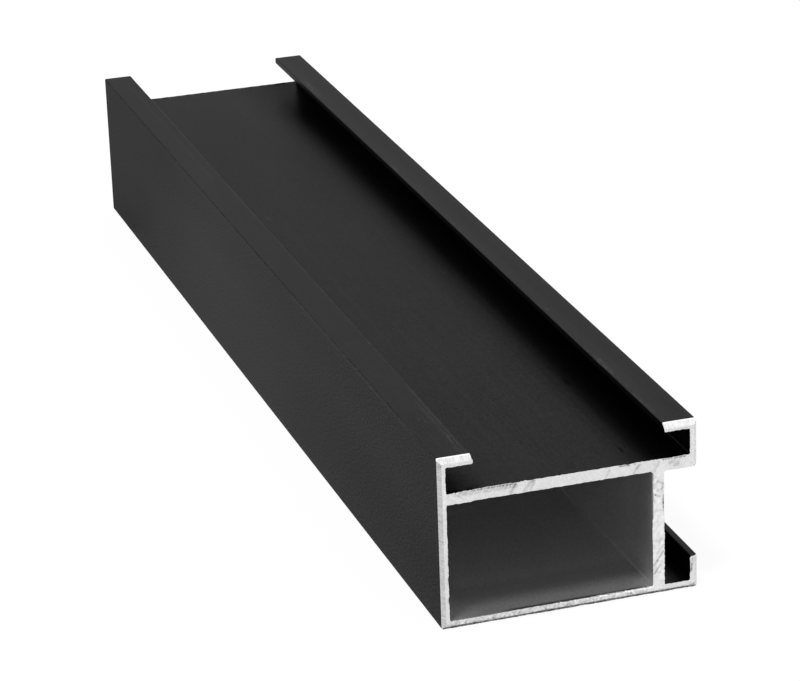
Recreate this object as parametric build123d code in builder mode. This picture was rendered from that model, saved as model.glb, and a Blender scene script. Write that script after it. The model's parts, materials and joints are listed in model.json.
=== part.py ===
from build123d import *
import os

# An offcut of extruded aluminium joist profile, in millimetres.
# X runs across the section, from the full-height wall to the ledge side, Y along the stock and Z up.
# The origin is the middle of the base, and the bevelled sawn end is at -Y.

# Overall sizes
width = 60.0                # over the left wall and the ledge
height = 40.3               # base to the board seats on top of the lips
length = 308.0              # sawn end to sawn end

# Walls of the closed chamber
left_wall = 1.7             # runs the full height of the section
floor_thickness = 1.95      # runs the full width of the section
right_wall = 2.75
web_thickness = 2.7         # between the chamber and the clip channel

# Clip channel on top, open between two lips
channel_depth = 7.9         # board seats down to the web
lip_reach = 7.8             # each lip, from the outer face of the section to its tip
left_lip = 1.95             # lip thicknesses
right_lip = 1.8

# Ledge and upstand that carry the right lip out past the chamber
ledge_reach = 7.95          # outer face of the right wall to the outer face of the section
ledge_thickness = 3.0
upstand_wall = 1.8

# Side channel under the ledge, held in by a low lip at its foot
side_lip_wall = 1.85
side_lip_height = 7.8

# Corner radii of the section
outer_radius = 0.3
ledge_radius = 0.7          # lower outer corner of the ledge
chamber_radius = 0.5
channel_radius = 0.3        # inside corners of the clip channel and the side channel
tip_radius = 0.25           # upper corner of a lip's tip
nose_radius = 0.45          # lower corner of a lip's tip
side_lip_radius = 0.4       # inner corner on top of the side lip

# Bevel round the outer edges of the sawn end
end_bevel = 0.85            # in from the outer face, and back along it
seat_bevel_drop = 1.1       # down from the board seats
seat_bevel_run = 1.4        # back along the board seats

# Places that follow from the sizes above
left_face = -width / 2
right_face = width / 2
front_end = -length / 2
left_inside = left_face + left_wall
chamber_side = right_face - ledge_reach
right_inside = chamber_side - right_wall
web_top = height - channel_depth
web_bottom = web_top - web_thickness
ledge_bottom = web_top - ledge_thickness
upstand_inside = right_face - upstand_wall
side_lip_inside = right_face - side_lip_wall
left_tip = left_face + lip_reach
right_tip = right_face - lip_reach
left_lip_bottom = height - left_lip
right_lip_bottom = height - right_lip

# Each wall as its left edge, its lower edge, its width and its height
walls = [
    (left_face, 0, left_wall, height),
    (left_face, 0, width, floor_thickness),
    (right_inside, 0, right_wall, web_top),
    (left_face, web_bottom, width - upstand_wall, web_thickness),
    (left_face, left_lip_bottom, lip_reach, left_lip),
    (right_tip, right_lip_bottom, lip_reach, right_lip),
    (right_inside, ledge_bottom, right_face - right_inside, ledge_thickness),
    (upstand_inside, ledge_bottom, upstand_wall, height - ledge_bottom),
    (side_lip_inside, 0, side_lip_wall, side_lip_height),
]

# The rounded corners of the section, by radius
rounded_corners = [
    (outer_radius, [
        (left_face, 0),
        (right_face, 0),
        (left_face, height),
        (right_face, height),
        (right_face, side_lip_height),
    ]),
    (ledge_radius, [(right_face, ledge_bottom)]),
    (chamber_radius, [
        (left_inside, floor_thickness),
        (right_inside, floor_thickness),
        (left_inside, web_bottom),
        (right_inside, web_bottom),
    ]),
    (channel_radius, [
        (left_inside, web_top),
        (upstand_inside, web_top),
        (left_inside, left_lip_bottom),
        (upstand_inside, right_lip_bottom),
        (chamber_side, floor_thickness),
        (side_lip_inside, floor_thickness),
        (chamber_side, ledge_bottom),
    ]),
    (tip_radius, [(left_tip, height), (right_tip, height)]),
    (nose_radius, [(left_tip, left_lip_bottom), (right_tip, right_lip_bottom)]),
    (side_lip_radius, [(side_lip_inside, side_lip_height)]),
]

# The bevels of the sawn end, each as a wedge laid along one outer edge:
# a point on the edge, the way in from the outer face, the way along the edge,
# how far in the wedge starts, how far back it runs out, and the length of the edge
bevels = [
    ((left_face, front_end, height / 2), (1, 0, 0), (0, 0, 1), end_bevel, end_bevel, height),
    ((right_face, front_end, height / 2), (-1, 0, 0), (0, 0, -1), end_bevel, end_bevel, height),
    ((0, front_end, 0), (0, 0, 1), (-1, 0, 0), end_bevel, end_bevel, width),
    ((0, front_end, height), (0, 0, -1), (1, 0, 0), seat_bevel_drop, seat_bevel_run, width),
]

with BuildPart() as extrusion_profile:
    with BuildSketch(Plane.XZ) as section:
        for wall_left, wall_bottom, wall_width, wall_height in walls:
            with Locations((wall_left, wall_bottom)):
                Rectangle(wall_width, wall_height, align=(Align.MIN, Align.MIN))
        for radius, points in rounded_corners:
            corners = [section.vertices().sort_by_distance(point)[0] for point in points]
            fillet(corners, radius=radius)
    extrude(amount=length / 2, both=True)

    for point, inward, along, start, run_out, reach in bevels:
        with BuildSketch(Plane(origin=point, x_dir=inward, z_dir=along)):
            with BuildLine():
                Polyline((0, 0), (start, 0), (0, run_out), close=True)
            make_face()
        extrude(amount=reach / 2, both=True, mode=Mode.SUBTRACT)

extrusion_profile.part.label = "extrusion_profile"
os.makedirs("parts", exist_ok=True)
export_step(extrusion_profile.part, "parts/extrusion_profile.step")
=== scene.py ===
import json
import math

import bmesh
import bpy
from mathutils import Matrix, Vector, noise


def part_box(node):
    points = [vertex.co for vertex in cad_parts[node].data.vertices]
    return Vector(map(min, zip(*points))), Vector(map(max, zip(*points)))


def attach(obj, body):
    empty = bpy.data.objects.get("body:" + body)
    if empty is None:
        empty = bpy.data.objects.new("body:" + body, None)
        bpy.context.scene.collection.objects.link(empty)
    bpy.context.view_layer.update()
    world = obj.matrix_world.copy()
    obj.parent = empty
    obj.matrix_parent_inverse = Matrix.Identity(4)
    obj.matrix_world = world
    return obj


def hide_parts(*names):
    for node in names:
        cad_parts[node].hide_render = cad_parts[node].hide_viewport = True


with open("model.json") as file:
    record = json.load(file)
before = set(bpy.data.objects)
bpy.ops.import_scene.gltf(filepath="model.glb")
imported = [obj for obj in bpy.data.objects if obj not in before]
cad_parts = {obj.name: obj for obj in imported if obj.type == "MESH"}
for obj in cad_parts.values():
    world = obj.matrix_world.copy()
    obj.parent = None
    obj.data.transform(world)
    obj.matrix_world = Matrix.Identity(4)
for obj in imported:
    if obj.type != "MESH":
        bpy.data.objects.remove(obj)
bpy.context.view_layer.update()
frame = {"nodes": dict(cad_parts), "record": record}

MM = 0.001
TINY = 0.001 * MM
NODE = "extrusion_profile"
PIECE = "joist_profile"
left_face, front_end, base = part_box(NODE)[0]
right_face, far_end, top_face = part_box(NODE)[1]
SAME = 0.001                    # places closer than this, in millimetres, count as one
corner = Vector((left_face, front_end, base))       # marks are placed from here, in millimetres
across_mm, height_mm = (right_face - left_face) / MM, (top_face - base) / MM


# Camera of the photograph
def make_camera():
    look = Vector((0.27587, 0.89102, -0.36052))
    up = Vector((0.14105, 0.33349, 0.93214))
    right = look.cross(up)
    data = bpy.data.cameras.new("camera")
    data.sensor_width = 36.0
    data.lens = 152.72
    data.clip_start = 0.01
    data.clip_end = 50.0
    camera = bpy.data.objects.new("camera", data)
    turn = Matrix((right, up, -look)).transposed().to_4x4()
    camera.matrix_world = Matrix.Translation((-0.23391, -0.78878, 0.32586)) @ turn
    bpy.context.scene.collection.objects.link(camera)
    bpy.context.scene.camera = camera


make_camera()


# Places on the bevelled sawn end, read from the frame
corners = [vertex.co for vertex in frame["nodes"][NODE].data.vertices]
flat_cut = [p for p in corners if p.y < front_end + TINY]
cut_left, cut_right = min(p.x for p in flat_cut), max(p.x for p in flat_cut)
cut_bottom, cut_top = min(p.z for p in flat_cut), max(p.z for p in flat_cut)
bevel_end = min(p.y for p in corners if p.z > top_face - TINY)      # where the seat bevels run out
chamber_low, chamber_high = next(
    [Vector(point) for point in hole["box_m"]]
    for hole in frame["record"]["physics"]["openings"] if hole["name"] == "box_chamber")
corner_reach = 0.45             # of the chamber's rounded corners, in millimetres
chamber_right = max(p.x for p in corners if p.x < chamber_high.x + MM)
chamber_corner = (chamber_right - left_face) / MM - corner_reach
floor_top = min(p.z for p in corners if chamber_low.x < p.x < chamber_high.x and p.z > base + MM)
floor_level = (floor_top - base) / MM

# Mesh of the profile, sliced into small cells so that its faces can carry relief and marks
end_cell = 0.26 * MM            # cells of the bevelled sawn end
far_cell = 0.6 * MM             # cells of the plain sawn end
skin_cell = 2.0 * MM            # cells of the long faces, across the section
skin_step = 2.5 * MM            # and along the stock
lip_cell = 0.3 * MM             # cells of the board seats, across the section
edge_rows = (0.7 * MM, 1.3 * MM)                    # narrow rows of cells below the top edges
first_ring, second_ring = 0.15 * MM, 0.5 * MM       # rings of cells behind the cut, for its burrs
ANODISED, SAWN, SEAT_BEVEL, SIDE_BEVEL, LOWER_BEVEL, MILL = range(6)
CUT = (SAWN, SEAT_BEVEL, SIDE_BEVEL, LOWER_BEVEL)


def plane_places(bm, axis):
    """Where the flat faces square to an axis lie, in order."""
    return sorted({
        round(face.calc_center_median()[axis], 6)
        for face in bm.faces if abs(face.normal[axis]) > 0.9999
    })


def stations(places, step):
    """Evenly spaced places between each two neighbours of a list, without the list itself."""
    between = []
    for low, high in zip(places, places[1:]):
        count = max(1, round((high - low) / step))
        between += [low + (high - low) * i / count for i in range(1, count)]
    return between


def slice_cells(bm, geometry, axis, places):
    """Cuts the given faces along planes square to an axis, and returns them with the new ones."""
    normal = Vector((0, 0, 0))
    normal[axis] = 1.0
    for place in places:
        cut = bmesh.ops.bisect_plane(
            bm, geom=geometry, dist=1e-7, plane_co=normal * place, plane_no=normal)
        geometry = cut["geom"]
    return geometry


def zone(bm, wanted):
    """The faces that pass a test, with their edges and corners."""
    faces = [face for face in bm.faces if wanted(face)]
    edges = {edge for face in faces for edge in face.edges}
    verts = {vert for face in faces for vert in face.verts}
    return list(verts) + list(edges) + faces


def middle_y(face):
    return face.calc_center_median().y


def profile_cells():
    """The plain profile as a mesh of small cells."""
    bm = bmesh.new()
    bm.from_mesh(frame["nodes"][NODE].data)
    bmesh.ops.remove_doubles(bm, verts=bm.verts, dist=1e-6)
    bmesh.ops.dissolve_limit(bm, angle_limit=0.01, verts=bm.verts, edges=bm.edges)
    across, upward = plane_places(bm, 0), plane_places(bm, 2)
    end_across = sorted(across + [cut_left, cut_right])
    end_upward = sorted(upward + [cut_bottom, cut_top])
    near_zone, far_zone = bevel_end, far_end - first_ring
    rings = [front_end + first_ring, front_end + second_ring, near_zone, far_zone]
    slice_cells(bm, zone(bm, lambda face: True), 1, rings)
    for cell, fixed_x, fixed_z, wanted in (
        (end_cell, end_across, end_upward, lambda face: middle_y(face) < near_zone),
        (far_cell, across, upward, lambda face: middle_y(face) > far_zone),
        (skin_cell, across, upward, lambda face: near_zone < middle_y(face) < far_zone),
    ):
        cells = zone(bm, wanted)
        cells = slice_cells(bm, cells, 0, stations(fixed_x, cell))
        rows = [top_face - drop for drop in edge_rows] if cell == skin_cell else []
        cells = slice_cells(bm, cells, 2, stations(fixed_z, cell) + rows)
    slice_cells(bm, cells, 1, stations([near_zone, far_zone], skin_step))
    seats = zone(bm, lambda face: face.normal.z > 0.9999 and face.verts[0].co.z > top_face - TINY)
    slice_cells(bm, seats, 0, stations(across, lip_cell))
    return bm


def face_material(face):
    """Which of the materials a face of the plain profile has."""
    normal, middle = face.normal, face.calc_center_median()
    if abs(normal.y) > 0.99:
        return SAWN
    if normal.y < -0.3:
        if abs(normal.x) > abs(normal.z):
            return SIDE_BEVEL
        return SEAT_BEVEL if normal.z > 0 else LOWER_BEVEL
    beside = chamber_low.x - MM < middle.x < chamber_high.x + MM
    level = chamber_low.z - MM < middle.z < chamber_high.z + MM
    return MILL if beside and level else ANODISED


def dress_faces(bm):
    """Gives each face its material and smooth shading, with sharp edges where the profile has them."""
    bmesh.ops.recalc_face_normals(bm, faces=bm.faces)
    bm.normal_update()
    for face in bm.faces:
        face.smooth = True
        face.material_index = face_material(face)
    for edge in bm.edges:
        if len(edge.link_faces) == 2 and edge.calc_face_angle() > 0.5:
            edge.smooth = False


# Marks, placed in millimetres from the left face, the bevelled end and the base
def smooth_step(value):
    value = min(1.0, max(0.0, value))
    return value * value * (3 - 2 * value)


def band(value, low, high, edge):
    """1 between two places and 0 outside them, with soft edges."""
    return smooth_step((value - low) / edge + 0.5) * smooth_step((high - value) / edge + 0.5)


def patches(along, across, marks):
    """Sum of soft patches: from and to along, from and to across, soft edge and amount."""
    total = 0.0
    for start, end, low, high, edge, amount in marks:
        total += amount * band(along, start, end, edge) * band(across, low, high, 0.4 * edge)
    return total


def stroke(x, z, x0, z0, x1, z1, width):
    """How far a place lies inside a soft stroke drawn between two places: 0 outside, 1 on its middle."""
    reach = Vector((x1 - x0, z1 - z0))
    offset = Vector((x - x0, z - z0))
    share = min(1.0, max(0.0, offset.dot(reach) / reach.length_squared))
    return 1 - smooth_step((offset - reach * share).length / width)


def ripple(point, size, seed):
    """Smooth noise of about -1 to 1, with features of the given size, for a place in millimetres."""
    return noise.noise(point / size + Vector((7.3, 1.9, 4.1)) * seed)


seat_level = height_mm - 0.1    # anything higher is on a board seat
wall_skin = 1.0                 # anything further left is on the left wall's outer face
web_skin = (31, 34)             # the web's upper face lies between these heights

# Lighter and darker patches of the anodised faces, in thousandths of their base colour, partly their own
# tone and partly painted shade and painted dark reflection:
# from and to along the stock, low and high across it, soft edge and amount
left_wall_tone_and_painted_reflection = [
    # Painted dark reflection low on the wall near the cut.
    (-20, 75, -20, 20, 30, -4),
    (0, 22, 7, 16, 10, -3),
    (20, 220, 22, 29, 16, 2),
    (160, 205, 20, 30, 24, 2),
    (120, 255, -20, 24, 30, 3),
    # Painted dark reflection: a band towards the far end, and the far end itself.
    (195, 250, 30, 40, 20, -3),
    (225, 400, -20, 60, 70, -7),
    (20, 110, 39.3, 40.1, 1.5, 6),
]
left_lip_shades = [
    (-20, 400, -5, 15, 4, 6),
    # Painted shade towards the far end.
    (240, 400, -5, 15, 80, -9),
    (-20, 25, -5, 15, 30, -2),
    (14, 28, 2, 4.5, 4, -3),
    (0, 34, 6.15, 6.4, 0.9, 10),
    (0, 42, 7.05, 7.3, 0.9, 13),
    (8, 26, 3.0, 3.3, 0.9, 5),
    (205, 300, 4.7, 5.4, 1.2, 9),
    (200, 400, 7.2, 8, 1.2, -5),
    (-20, 400, 7.2, 8, 1.2, 2),
]
right_lip_shades = [
    (-20, 400, 50, 62, 4, 8),
    (-20, 18, 50, 62, 5, -2.5),
    # Painted shade towards the far end.
    (200, 400, 50, 62, 80, -8),
    (-20, 400, 55.6, 58.2, 3, -2),
    (-20, 400, 52.4, 55, 3, 2),
    (268, 282, 53, 54.2, 4, 9),
    (33, 45, 52.4, 53.4, 2, 7),
    (8, 20, 52.4, 53.4, 2, 6),
    (120, 200, 52.4, 53.6, 3, 3),
]
web_tone_and_painted_shade = [
    (60, 240, -5, 60, 60, 2),
    # Painted shade towards the far end.
    (200, 400, 4, 42, 60, -3),
    # Painted shade in the far right corner.
    (266, 400, 42, 62, 36, -18),
    # Painted shade under the right lip, beside it, and in the inner corner at the upstand's foot.
    (-20, 400, 52.5, 56.5, 6, -18),
    (-20, 260, 43.5, 49.5, 6, -3),
    (-20, 400, 57.6, 59, 1.5, -16),
    # Painted shade under the left lip near the cut.
    (-9, 14, -5, 9, 10, -22),
    (-9, 14, -5, 4.4, 2, -6),
    (-9, 14, 6.5, 13, 10, -3.5),
]


# Places with fine bright flecks: from and to along the stock, across it and upward, and amount
worn_places = [
    (2, 52, 52.1, 53.2, 40, 41, 1.0),
    (52, 260, 52.1, 52.9, 40, 41, 0.35),
    (262, 284, 52.2, 54.0, 40, 41, 1.0),
    (2, 30, 5.4, 7.1, 40, 41, 0.5),
    (2, 290, 7.2, 8.0, 40, 41, 0.4),
    (12, 115, -1, 0.5, 39.3, 40.1, 0.9),
    (120, 260, -1, 0.5, 39.3, 40.1, 0.4),
]


def painted_dark_reflection(at):
    """1 inside the painted dark reflection at the far lower end of the left wall, which a curved line
    bounds.
    """
    drop = min(1.0, max(0.0, at.z / 22))
    boundary = 285 - 45 * drop ** 0.7
    return smooth_step((at.y - boundary) / 7 + 0.5) * (1 - drop)


def shade(at):
    """How much lighter or darker a place on the anodised faces is, in thousandths of base colour, from
    its tone and from painted shade and painted dark reflection.
    """
    if at.z > seat_level:
        return patches(at.y, at.x, left_lip_shades if at.x < 30 else right_lip_shades)
    if at.x < wall_skin:
        # Painted dark reflection in the far lower corner of the wall, bounded by a curve, and along the
        # far lower end.
        foot = band(at.y, 278, 400, 12) * band(at.z, -5, 6, 6)
        return patches(at.y, at.z, left_wall_tone_and_painted_reflection) - 9 * painted_dark_reflection(at) - 5 * foot
    if web_skin[0] < at.z < web_skin[1]:
        return patches(at.y, at.x, web_tone_and_painted_shade)
    return 0.0


def dullness(at):
    """Roughness that a place on the anodised faces has above the rest."""
    on_wall = at.x < wall_skin and at.z < seat_level
    return 0.125 + 0.04 * smooth_step((at.y - 180) / 100) if on_wall else 0.0


def wear(at):
    """How much of the anodising's fine bright flecks a place has."""
    total = 0.0
    for y_low, y_high, x_low, x_high, z_low, z_high, amount in worn_places:
        across = band(at.x, x_low, x_high, 0.5) * band(at.z, z_low, z_high, 0.5)
        total += amount * band(at.y, y_low, y_high, 8) * across
    return total


# Dark and bright strokes of the bevelled sawn end: from x and z to x and z, width and amount
saw_strokes = [
    (16.5, 30.2, 17.4, 31.7, 0.75, 0.45),
    (17.0, 31.5, 17.7, 31.8, 0.45, 0.45),
    (19.5, 30.1, 20.6, 31.3, 0.65, 0.5),
    (20.6, 31.3, 21.7, 31.8, 0.5, 0.5),
    (21.0, 30.3, 21.9, 31.6, 0.5, 0.4),
    (4.2, 31.5, 5.6, 30.4, 0.35, 0.3),
    (38.3, 30.2, 39.4, 31.6, 0.35, 0.6),
    (44.8, 29.9, 46.2, 31.9, 0.35, 0.65),
    (45.7, 31.0, 46.7, 31.9, 0.3, 0.5),
    (50.0, 30.0, 50.9, 31.8, 0.5, 0.5),
    (53.6, 31.2, 54.4, 31.4, 0.9, 0.45),
    (54.6, 30.3, 55.6, 30.6, 0.7, 0.5),
    (55.4, 31.0, 56.0, 31.9, 0.4, 0.3),
    (49.5, 7.0, 50.6, 8.2, 0.3, 0.7),
    (50.2, 8.0, 51.8, 10.2, 0.3, 0.8),
    (50.4, 9.8, 51.9, 11.8, 0.3, 0.7),
    (50.6, 11.4, 51.3, 13.4, 0.3, 0.6),
    (49.6, 5.0, 51.0, 7.0, 0.32, 1.1),
    (50.3, 5.2, 51.4, 5.0, 0.3, 0.4),
    (50.0, 23.9, 50.9, 23.5, 0.35, 1.0),
    (49.6, 24.3, 50.2, 23.9, 0.3, 0.5),
    (50.3, 24.8, 51.7, 25.6, 0.35, 0.6),
    (50.5, 27.2, 51.7, 26.4, 0.35, 0.6),
    (51.4, 25.0, 51.8, 26.6, 0.35, 0.7),
    (50.2, 26.0, 50.4, 27.4, 0.4, 0.3),
    (58.4, 4.2, 58.5, 5.8, 0.35, 1.1),
    (58.5, 5.8, 58.8, 7.2, 0.35, 0.9),
    (58.9, 0.9, 59.1, 1.2, 0.3, 0.9),
    (59.6, 30.0, 59.6, 39.0, 0.8, -0.5),
    (59.6, 0.0, 59.6, 8.0, 0.8, -0.35),
    (50.8, 2.0, 50.8, 29.0, 2.6, -0.12),
    (53.0, 39.75, 59.5, 39.75, 1.0, -0.25),
    (41.6, 32.1, 43.8, 32.1, 0.27, 1.6),
    (45.0, 32.1, 45.3, 32.3, 0.25, 0.9),
    (51.8, 32.1, 57.0, 32.1, 0.27, 1.3),
    (7.5, 32.15, 17.5, 32.15, 0.25, 0.9),
    (20.6, 31.9, 22.0, 32.15, 0.25, 0.9),
    (1.5, 6.6, 1.7, 7.4, 0.3, 0.6),
    (1.4, 10.8, 1.7, 12.0, 0.3, 0.55),
    (1.2, 29.2, 1.6, 33.0, 0.5, -0.25),
    (51.9, 20.0, 51.95, 23.5, 0.32, 2.2),
]
right_wall_cut = (49.3, 52.1)               # mottled cut face of the right wall
floor_cut = (2, 48.5, 0.8, 2.0)             # mottled cut face of the floor
floor_foot = (0.7, 1.1)                     # its darker lower edge
floor_burr = (35.5, 49.2)                   # stretch of the floor's cut edge that is rolled back
torn_burr = (25.0, 36.0)                    # and the stretch where it is broken off here and there
grey_web = (3.5, 17.5, 31.2, 32.3)          # mottled strip of the web's cut face
lip_shadow = (38.35, 39.0)                  # mottled strip below the seat bevels


def on_floor_burr(at):
    """How much of the floor's cut edge is rolled back at a place: 1 for all of it."""
    torn = band(at.x, *torn_burr, 2) * min(1.0, max(0.0, 2 * ripple(at, 0.6, 18)))
    on_edge = band(at.z, floor_level - 0.25, floor_level + 0.5, 0.1)
    return max(band(at.x, *floor_burr, 2), torn) * on_edge


def smudge(at):
    """How much darker than clean metal a place on the cut is, or brighter where it is negative."""
    total = 0.0
    for *ends, width, amount in saw_strokes:
        total += amount * stroke(at.x, at.z, *ends, width)
    mottle = 0.5 + 0.5 * ripple(at, 0.7, 1)
    on_grey_web = band(at.x, *grey_web[:2], 2) * band(at.z, *grey_web[2:], 0.5)
    total += 0.8 * mottle * on_grey_web
    total += 0.3 * mottle * band(at.z, *lip_shadow, 0.3)
    total += 0.4 * ripple(at, 0.9, 11) * band(at.x, *right_wall_cut, 0.3)
    floor_ripple = ripple(at, 0.45, 15)
    on_floor_cut = band(at.x, *floor_cut[:2], 3) * band(at.z, *floor_cut[2:], 0.4)
    total += (0.2 + 0.8 * floor_ripple) * on_floor_cut
    total += (0.25 + 0.5 * floor_ripple) * band(at.z, *floor_foot, 0.3)
    total -= band(at.z, seat_level, seat_level + 0.8, 0.2)
    total -= 1.4 * on_floor_burr(at)
    return total


# Burrs and nicks of the cut's inner edges: from x and z to x and z, and the height in millimetres
burrs = [
    (7.8, 38.5, 7.8, 39.1, 0.25),
    (19.5, 32.4, 20.4, 32.4, 0.03),
    (20.4, 32.4, 21.6, 32.4, -0.05),
    (41.8, 32.4, 44.2, 32.4, -0.06),
    (51.9, 32.4, 55.5, 32.4, -0.06),
    (1.7, 6.7, 1.7, 7.4, -0.12),
    (1.7, 10.9, 1.7, 12.0, -0.1),
    (49.3, 12.5, 49.3, 16.0, 0.08),
    (49.3, 18.5, 49.3, 29.0, -0.22),
    (2.0, 32.4, 4.0, 32.4, -0.26),
    (4.0, 32.4, 7.5, 32.4, -0.14),
    (2.2, 29.7, 7.5, 29.7, 0.17),
    (52.05, 20.0, 52.05, 23.5, -0.18),
]


def burr(at):
    """How far the cut's inner edge stands out into the opening, in millimetres."""
    height = 0.05 * ripple(at, 1.4, 3) + 0.13 * ripple(at, 0.42, 4)
    for *ends, extra in burrs:
        height += extra * stroke(at.x, at.z, *ends, 0.4) * (1 + 0.5 * ripple(at, 0.35, 5))
    return height


def rolled_edge(at):
    """How far the rolled edge of the floor's cut leans back and stands up, in millimetres."""
    share = on_floor_burr(at)
    back = share * (0.3 + 0.3 * ripple(at, 0.4, 12))
    rise = share * (-0.14 + 0.16 * ripple(at, 0.5, 13))
    return Vector((0, max(0.0, back), max(-0.3, rise)))


def saw_depth(at):
    """Depth of the saw's scoring on a flat cut, in millimetres."""
    along_saw = Vector((0.54, 0, 0.84))
    across_saw = Vector((0.84, 0, -0.54))
    scored = Vector((at.dot(along_saw) / 6, at.dot(across_saw) / 0.6, at.y / 50))
    return 0.012 * (1 + noise.noise(scored)) + 0.012 * (1 + ripple(at, 4, 6))


def torn_depth(at):
    """Depth of the torn patches of the lower bevel, in millimetres."""
    return 0.06 * (1 + ripple(at, 0.9, 7)) + 0.03 * (1 + ripple(at, 0.35, 8))


def rough_cuts(bm):
    """Moves the corners of the cells near both cuts, never outside the plain profile's box."""
    moves = {}
    for vert in bm.verts:
        at = (vert.co - corner) / MM
        near_cut, behind_cut = at.y < SAME, abs(vert.co.y - front_end - first_ring) < TINY
        far_cut = vert.co.y > far_end - TINY
        kinds = {face.material_index for face in vert.link_faces}
        walls = [face.normal for face in vert.link_faces if face.material_index not in CUT]
        outward = sum(walls, Vector()).normalized() if walls else Vector()
        move = Vector()
        if near_cut or far_cut:
            inward = 1 if near_cut else -1
            move.y += inward * saw_depth(at)
            if walls and near_cut:
                move += outward * burr(at) + rolled_edge(at)
            elif walls:
                outside = min(at.x, at.z, across_mm - at.x, height_mm - at.z) < 0.5
                move += outward * (0 if outside else 0.06 * ripple(at, 0.9, 14))
            elif len(kinds) > 1:
                ragged = 0.12 * ripple(at, 0.5, 9)
                if LOWER_BEVEL in kinds or SEAT_BEVEL in kinds:
                    move.z += ragged
                if SIDE_BEVEL in kinds:
                    move.x += ragged
        elif behind_cut and not kinds & set(CUT):
            move += outward * 0.35 * burr(at) + rolled_edge(at)
        elif LOWER_BEVEL in kinds and at.z < SAME:
            move.y -= 0.16 * (1 + ripple(at, 0.5, 16)) + 0.08 * ripple(at, 2.5, 17)
        elif LOWER_BEVEL in kinds:
            move.y += torn_depth(at)
        elif kinds & set(CUT):
            move.y += 0.02 * (1 + ripple(at, 0.6, 10))
        if move.length > 0:
            moves[vert] = move * MM
    for vert, move in moves.items():
        vert.co += move


def mark_surface(bm):
    """Writes the marks of each place on the corners of the cells, for the materials to read."""
    names = ("shade", "dullness", "wear", "smudge", "chamber_painted_shading")
    layers = {name: bm.verts.layers.float.new(name) for name in names}
    for vert in bm.verts:
        at = (vert.co - corner) / MM
        kinds = {face.material_index for face in vert.link_faces}
        if ANODISED in kinds:
            vert[layers["shade"]] = shade(at)
            vert[layers["dullness"]] = dullness(at)
            vert[layers["wear"]] = wear(at)
        if kinds & set(CUT) and at.y < 2:
            vert[layers["smudge"]] = smudge(at)
        if MILL in kinds:
            vert[layers["chamber_painted_shading"]] = chamber_painted_shading(at)


def chamber_painted_shading(at):
    """Painted light and shade of the chamber: how much darker a place is, below 0 where it is brighter
    than the rest.
    """
    on_floor = at.z < floor_level + 0.1
    # Painted shadow on the floor just behind the cut's rolled edge.
    line = band(at.y, 0.3, 1.0, 0.3) * band(at.x, 15, 48.5, 4) if on_floor else 0.0
    in_corner = at.x > chamber_corner and at.z < floor_level + corner_reach
    # Painted highlight on the rounded corner near the mouth, and painted shade on it further in.
    lit_corner = 0.25 - 0.4 * smooth_step(at.y / 50) if in_corner and not on_floor else 0.0
    if on_floor:
        # Painted light on the floor near the mouth at both sides, and painted shade just beyond the lit
        # band.
        glow = (1 - smooth_step((at.x - 4) / 8)) * band(at.y, -2, 11, 5)
        glow += smooth_step((at.x - 44) / 5) * band(at.y, -2, 5, 4)
        line += 0.2 * band(at.y, 6.5, 15, 4) - 0.27 * glow
    elif at.x > chamber_corner:
        # Painted shade high on the right wall, and painted light low on it near the mouth.
        line += (0.08 + 0.13 * band(at.y, 2, 12, 4)) * smooth_step((at.z - 5) / 7)
        line -= 0.25 * band(at.y, -2, 4.5, 4) * (1 - smooth_step((at.z - 3) / 4))
    # Painted light: the chamber grows brighter deeper in.
    return line - 0.27 * smooth_step((at.y - 8) / 40) - lit_corner


def make_mesh():
    bm = profile_cells()
    dress_faces(bm)
    mark_surface(bm)
    rough_cuts(bm)
    mesh = bpy.data.meshes.new(PIECE)
    bm.to_mesh(mesh)
    bm.free()
    return mesh


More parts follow.
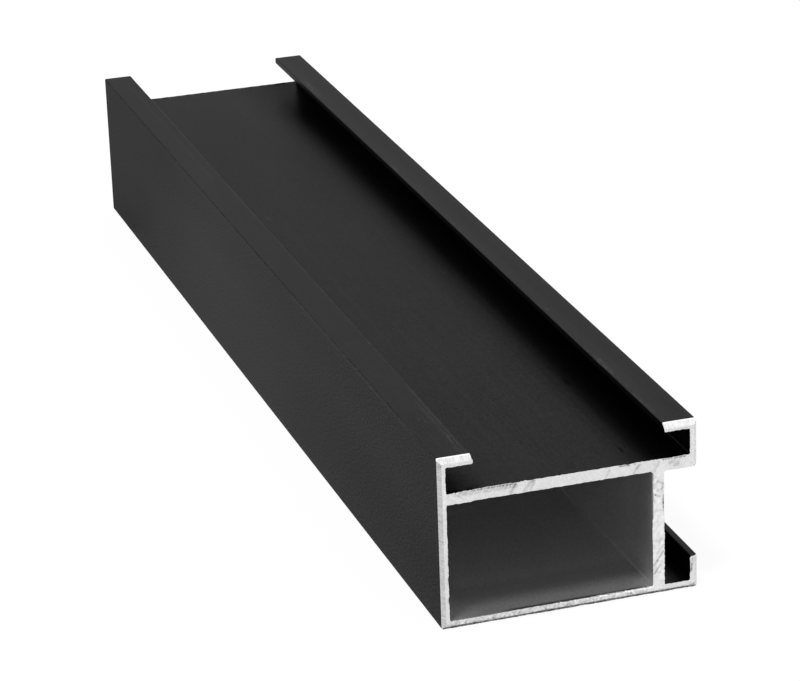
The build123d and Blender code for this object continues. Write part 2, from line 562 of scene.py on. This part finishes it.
# Materials
class Graph:
    """The nodes of one material, with short ways to add to them."""

    def __init__(self, name):
        self.material = bpy.data.materials.new(name)
        self.material.use_nodes = True
        self.nodes = self.material.node_tree.nodes
        self.links = self.material.node_tree.links

    def put(self, socket, value):
        """Sets an input of the shader, or links a node's output to it."""
        self.plug(self.nodes["Principled BSDF"].inputs[socket], value)

    def plug(self, socket, value):
        if isinstance(value, bpy.types.NodeSocket):
            self.links.new(value, socket)
        else:
            socket.default_value = value

    def math(self, operation, first, second=0.0):
        node = self.nodes.new("ShaderNodeMath")
        node.operation = operation
        self.plug(node.inputs[0], first)
        self.plug(node.inputs[1], second)
        return node.outputs[0]

    def total(self, *values):
        result = values[0]
        for value in values[1:]:
            result = self.math("ADD", result, value)
        return result

    def spread(self, value, from_low, from_high, to_low, to_high):
        """Maps one range to another, and stops at its ends."""
        node = self.nodes.new("ShaderNodeMapRange")
        for name, setting in (
            ("Value", value), ("From Min", from_low), ("From Max", from_high),
            ("To Min", to_low), ("To Max", to_high),
        ):
            self.plug(node.inputs[name], setting)
        return node.outputs["Result"]

    def mark(self, name):
        node = self.nodes.new("ShaderNodeAttribute")
        node.attribute_name = name
        return node.outputs["Fac"]

    def place(self):
        return self.nodes.new("ShaderNodeTexCoord").outputs["Object"]

    def height_above_base(self):
        node = self.nodes.new("ShaderNodeSeparateXYZ")
        self.links.new(self.place(), node.inputs[0])
        return self.math("SUBTRACT", node.outputs["Z"], base)

    def noise(self, size, turn=0.0, detail=2.0, seed=0.0):
        """Noise about 0.5 with features of the given size along X, Y and Z, in millimetres."""
        mapping = self.nodes.new("ShaderNodeMapping")
        mapping.vector_type = "TEXTURE"
        mapping.inputs["Location"].default_value = (seed, seed, seed)
        mapping.inputs["Rotation"].default_value = (0, turn, 0)
        mapping.inputs["Scale"].default_value = [side * MM for side in size]
        self.links.new(self.place(), mapping.inputs["Vector"])
        texture = self.nodes.new("ShaderNodeTexNoise")
        texture.inputs["Scale"].default_value = 1.0
        texture.inputs["Detail"].default_value = detail
        self.links.new(mapping.outputs["Vector"], texture.inputs["Vector"])
        return texture.outputs["Fac"]

    def spot(self, where, length, width):
        """1 in the middle of a soft spot, drawn out along the stock, and 0 outside it."""
        mapping = self.nodes.new("ShaderNodeMapping")
        mapping.vector_type = "TEXTURE"
        mapping.inputs["Location"].default_value = corner + Vector(where) * MM
        mapping.inputs["Scale"].default_value = (width * MM, length * MM, width * MM)
        self.links.new(self.place(), mapping.inputs["Vector"])
        distance = self.nodes.new("ShaderNodeVectorMath")
        distance.operation = "LENGTH"
        self.links.new(mapping.outputs["Vector"], distance.inputs[0])
        return self.spread(distance.outputs["Value"], 0.3, 1.0, 1.0, 0.0)

    def bump(self, height, distance):
        """Relief from a height of 0 to 1, with that distance in millimetres between them."""
        node = self.nodes.new("ShaderNodeBump")
        node.inputs["Distance"].default_value = distance * MM
        self.plug(node.inputs["Height"], height)
        self.put("Normal", node.outputs["Normal"])


dark_specks = [((45, 8, 32.4), 1.8, 0.5), ((48, 50, 32.4), 3.0, 0.6)]
light_specks = [
    ((16, 190, 32.4), 3.0, 0.35),
    ((6.2, 9, 40.3), 1.6, 0.22),
    ((6.5, 12, 40.3), 1.4, 0.2),
    ((4.6, 22, 40.3), 1.6, 0.25),
    ((3.6, 24, 40.3), 1.4, 0.22),
    ((53.1, 34, 40.3), 1.6, 0.3),
    ((52.9, 38, 40.3), 1.6, 0.3),
    ((53.2, 41, 40.3), 2.0, 0.35),
    ((53.4, 77, 40.3), 1.2, 0.5),
    ((59.0, 95, 40.3), 1.4, 0.4),
    ((52.9, 145, 40.3), 1.6, 0.4),
    ((52.9, 193, 40.3), 2.4, 0.4),
]


def specks(graph, places):
    total = 0.0
    for where, length, width in places:
        total = graph.math("ADD", graph.spot(where, length, width), total)
    return total


def anodised():
    """Dull black anodising: grain, lengthwise die lines, soft blotches, painted shade and dark
    reflections, and flecks where it is worn.
    """
    graph = Graph("black_anodise")
    grain = graph.noise((0.25, 0.6, 0.35), detail=1)
    die_lines = graph.noise((0.5, 90, 0.5), detail=3, seed=0.2)
    clouds = graph.noise((11, 30, 11), detail=3, seed=0.4)
    flecks = graph.spread(graph.noise((0.4, 1.8, 0.4), detail=2, seed=0.7), 0.5, 0.64, 0, 0.03)
    dullness = graph.mark("dullness")
    coarseness = graph.spread(dullness, 0, 0.12, 0.008, 0.034)
    colour = graph.total(
        # Base colour from the shade mark: tone, painted shade and painted dark reflection.
        graph.math("MULTIPLY", graph.mark("shade"), 0.001),
        graph.spread(clouds, 0.3, 0.7, 0.032, 0.034),
        graph.math("MULTIPLY", graph.spread(grain, 0.3, 0.7, -1, 1), coarseness),
        graph.spread(die_lines, 0.3, 0.7, -0.003, 0.003),
        graph.math("MULTIPLY", flecks, graph.mark("wear")),
        graph.math("MULTIPLY", specks(graph, dark_specks), -0.015),
        graph.math("MULTIPLY", specks(graph, light_specks), 0.025),
    )
    graph.put("Base Color", graph.spread(colour, 0.002, 0.1, 0.002, 0.1))
    graph.put("Metallic", 1.0)
    graph.put("Specular Tint", (0.5, 0.5, 0.5, 1))
    graph.put("Roughness", graph.math("ADD", dullness, graph.spread(die_lines, 0.3, 0.7, 0.32, 0.34)))
    graph.bump(graph.math("ADD", grain, die_lines), 0.0015)
    return graph.material


def cut_metal(graph, clean, lines, score):
    """Bare cut metal: mottled grey, darker in its smudges and along its scores."""
    mottle = graph.noise((0.8, 0.8, 0.8), detail=4, seed=0.1)
    flecks = graph.noise((0.3, 0.3, 0.3), detail=1, seed=0.5)
    scuffs = graph.noise((1.8, 1.8, 0.24), turn=-math.radians(57), detail=2, seed=0.9)
    grey = graph.total(
        graph.spread(mottle, 0.3, 0.7, clean - 0.05, clean + 0.05),
        graph.spread(flecks, 0.3, 0.7, -0.05, 0.05),
        graph.spread(lines, 0.3, 0.7, -score, score),
        graph.math("MULTIPLY", graph.mark("smudge"), graph.spread(scuffs, 0.35, 0.65, -0.12, -0.62)),
    )
    graph.put("Base Color", graph.spread(grey, 0.0, 1.0, 0.0, 1.0))
    graph.put("Metallic", 1.0)
    graph.put("Roughness", graph.spread(mottle, 0.3, 0.7, 0.36, 0.46))
    graph.bump(graph.math("ADD", lines, graph.math("MULTIPLY", mottle, 0.5)), 0.012)
    return graph.material


def sawn():
    """Flat sawn aluminium, scored along the saw's slanted path."""
    graph = Graph("sawn_aluminium")
    lines = graph.noise((7.0, 5.0, 0.35), turn=-math.radians(57), detail=3)
    return cut_metal(graph, 0.745, lines, 0.03)


def filed(name, size, turn, clean):
    """Filed bevel, with strokes across the edge."""
    graph = Graph(name)
    return cut_metal(graph, clean, graph.noise(size, turn=turn, detail=2), 0.1)


def torn():
    """Lower bevel: torn, and darker next to the base than next to the cut."""
    graph = Graph("torn_lower_bevel")
    ragged = graph.noise((1.1, 1.1, 0.5), detail=4, seed=0.3)
    uneven = graph.noise((5, 1, 1), detail=1, seed=0.8)
    flecks = graph.noise((0.4, 0.4, 0.3), detail=1, seed=0.5)
    height = graph.total(
        graph.height_above_base(),
        graph.spread(ragged, 0.25, 0.75, -0.3 * MM, 0.3 * MM),
        graph.spread(uneven, 0.3, 0.7, -0.2 * MM, 0.2 * MM),
    )
    grey = graph.total(
        graph.spread(height, 0.45 * MM, 0.82 * MM, 0.14, 0.55),
        graph.spread(flecks, 0.35, 0.65, -0.1, 0.1),
        graph.math("MULTIPLY", graph.mark("smudge"), -0.3),
    )
    graph.put("Base Color", graph.spread(grey, 0.0, 1.0, 0.0, 1.0))
    graph.put("Metallic", 1.0)
    graph.put("Roughness", 0.5)
    graph.bump(ragged, 0.04)
    return graph.material


def mill():
    """Bare inside of the chamber, dull and grainy from the die, with faint lengthwise lines, and painted
    light and shade from its mark.
    """
    graph = Graph("mill_finish")
    die_lines = graph.noise((0.5, 90, 0.5), detail=3, seed=0.2)
    grain = graph.noise((0.5, 1.2, 0.5), detail=3, seed=0.6)
    clean = graph.total(
        graph.spread(grain, 0.3, 0.7, 0.44, 0.56),
        graph.spread(die_lines, 0.3, 0.7, -0.015, 0.015),
    )
    # Painted light and shade of the chamber lighten or darken its base colour.
    lightness = graph.spread(graph.mark("chamber_painted_shading"), -1, 1, 1.96, 0.04)
    graph.put("Base Color", graph.math("MULTIPLY", clean, lightness))
    graph.put("Metallic", 0.7)
    graph.put("Roughness", graph.spread(die_lines, 0.3, 0.7, 0.29, 0.33))
    graph.bump(grain, 0.004)
    return graph.material


def make_profile():
    mesh = make_mesh()
    for material in (
        anodised(),
        sawn(),
        filed("filed_seat_bevel", (0.35, 3.0, 3.0), math.radians(6), 0.72),
        # The side bevels' base colour, darker than the seat bevel's, is painted dark reflection of
        # dimmer surroundings at the sides.
        filed("filed_side_bevel", (3.0, 3.0, 0.35), math.radians(20), 0.56),
        torn(),
        mill(),
    ):
        mesh.materials.append(material)
    profile = bpy.data.objects.new(PIECE, mesh)
    bpy.context.scene.collection.objects.link(profile)
    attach(profile, "root")
    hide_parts(NODE)


make_profile()


# Studio
background_share = 0.85     # how much of the floor's white is its own, so that its shadow stays soft
floor_reach = 12.0          # from the middle of the floor to its edges
floor_drop = 0.02 * MM      # gap between the floor and the base


def seen_ray(nodes, links):
    """A value that is 1 on rays from the camera and on rays mirrored or let through by the object."""
    path = nodes.new("ShaderNodeLightPath")
    total = path.outputs["Is Camera Ray"]
    for kind in ("Is Glossy Ray", "Is Transmission Ray"):
        larger = nodes.new("ShaderNodeMath")
        larger.operation = "MAXIMUM"
        links.new(total, larger.inputs[0])
        links.new(path.outputs[kind], larger.inputs[1])
        total = larger.outputs[0]
    return total


def make_floor():
    material = bpy.data.materials.new("studio_floor")
    material.use_nodes = True
    nodes, links = material.node_tree.nodes, material.node_tree.links
    nodes.clear()
    output = nodes.new("ShaderNodeOutputMaterial")
    diffuse = nodes.new("ShaderNodeBsdfDiffuse")
    diffuse.inputs["Color"].default_value = (0.8, 0.8, 0.8, 1)
    white = nodes.new("ShaderNodeEmission")
    white.inputs["Strength"].default_value = 1.06
    share = nodes.new("ShaderNodeMath")
    share.operation = "MULTIPLY"
    share.inputs[1].default_value = background_share
    links.new(seen_ray(nodes, links), share.inputs[0])
    mix = nodes.new("ShaderNodeMixShader")
    links.new(share.outputs[0], mix.inputs[0])
    links.new(diffuse.outputs[0], mix.inputs[1])
    links.new(white.outputs[0], mix.inputs[2])
    links.new(mix.outputs[0], output.inputs["Surface"])
    bm = bmesh.new()
    bmesh.ops.create_grid(bm, x_segments=1, y_segments=1, size=floor_reach)
    floor_mesh = bpy.data.meshes.new("studio_floor")
    bm.to_mesh(floor_mesh)
    bm.free()
    floor_mesh.materials.append(material)
    floor = bpy.data.objects.new("studio_floor", floor_mesh)
    floor.location.z = -floor_drop
    bpy.context.scene.collection.objects.link(floor)


def make_world():
    world = bpy.data.worlds.new("studio")
    world.use_nodes = True
    nodes, links = world.node_tree.nodes, world.node_tree.links
    background = nodes["Background"]
    background.inputs["Color"].default_value = (1, 1, 1, 1)
    strength = nodes.new("ShaderNodeMapRange")
    strength.inputs["To Min"].default_value = 0.75
    strength.inputs["To Max"].default_value = 1.0
    links.new(seen_ray(nodes, links), strength.inputs["Value"])
    links.new(strength.outputs["Result"], background.inputs["Strength"])
    bpy.context.scene.world = world


def make_lamp():
    data = bpy.data.lights.new("overhead_softbox", "SUN")
    data.energy = 1.06
    data.angle = 0.19
    lamp = bpy.data.objects.new("overhead_softbox", data)
    towards = Vector((0.3, 0.235, -1.0))
    lamp.rotation_mode = "QUATERNION"
    lamp.rotation_quaternion = towards.to_track_quat("-Z", "Y")
    bpy.context.scene.collection.objects.link(lamp)


make_floor()
make_world()
make_lamp()
bpy.context.scene.view_settings.view_transform = "Standard"
